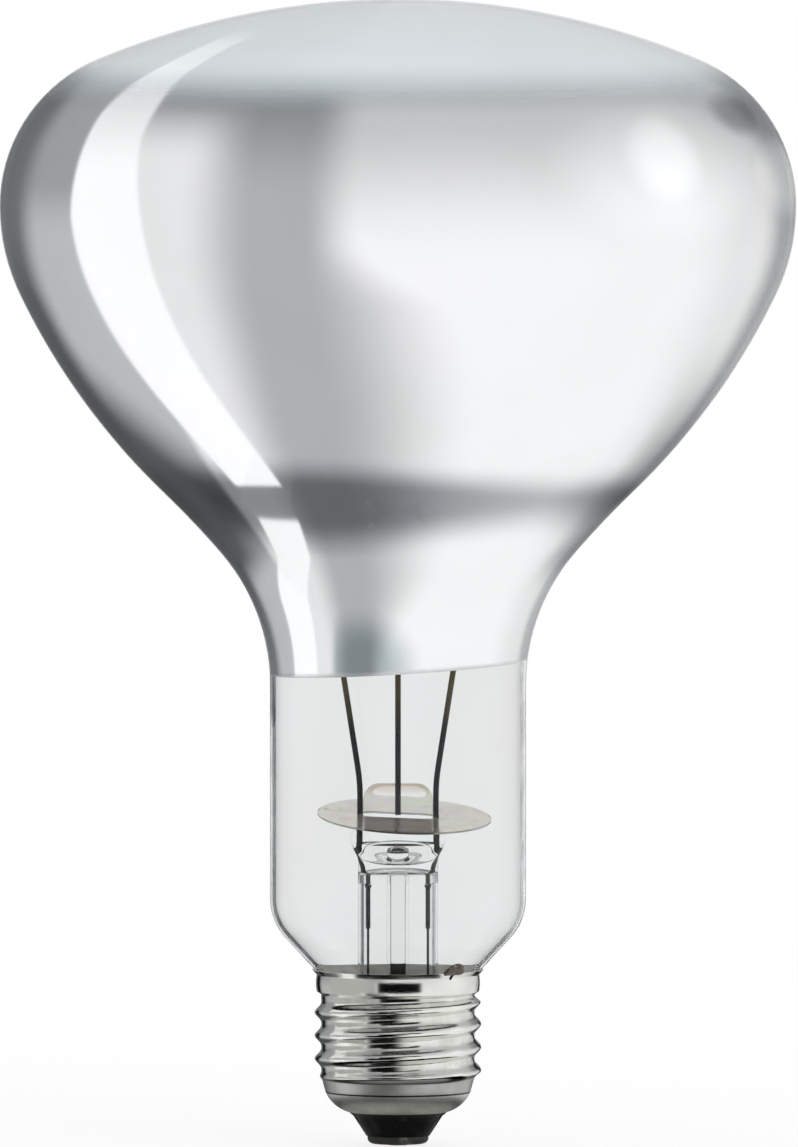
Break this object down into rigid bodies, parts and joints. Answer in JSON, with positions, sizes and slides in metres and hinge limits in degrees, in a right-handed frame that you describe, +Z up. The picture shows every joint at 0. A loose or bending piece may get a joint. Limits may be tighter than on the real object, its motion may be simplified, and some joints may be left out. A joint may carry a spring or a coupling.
{
  "type": "infrared reflector lamp",
  "caption": "Infrared heat lamp: blown glass bulb silvered inside as a reflector, clear neck with wire stem, heat shield and ring coil, and a metal screw cap.",
  "frame": {"origin": "centre of the small flat under the centre contact, the lamp's lowest point", "axes": "+Z up the lamp's axis from the cap to the front face of the bulb, +X to the right and -Y towards the viewer in the picture"},
  "size_m": [0.125, 0.125, 0.18],
  "materials": {
    "clear_glass": "clear blown glass",
    "silver_mirror": "vapour-deposited mirror film",
    "mica": "glossy grey-brown mica sheet",
    "nickel_wire": "drawn wire, dulled by heat",
    "copper_wire": "thin drawn wire",
    "tungsten_coil": "wound wire",
    "cap_metal": "nickel-plated rolled sheet",
    "black_glass": "black moulded glass",
    "contact_metal": "dull pressed plate",
    "solder": "set solder",
    "cement": "baked cement"
  },
  "bodies": {
    "root": {"glass_envelope": "clear_glass", "mirror_coating": "silver_mirror", "stem_flare": "clear_glass", "exhaust_tube": "clear_glass", "heat_shield": "mica", "inner_lead_left": "nickel_wire", "inner_lead_right": "nickel_wire", "seal_wire_left": "nickel_wire", "seal_wire_right": "nickel_wire", "outer_lead_left": "copper_wire", "outer_lead_right": "copper_wire", "filament_support": "nickel_wire", "filament": "tungsten_coil", "cap_shell": "cap_metal", "cap_insulator": "black_glass", "contact_plate": "contact_metal", "contact_solder": "solder", "side_solder": "solder", "cap_cement": "cement"}
  },
  "joints": []
}
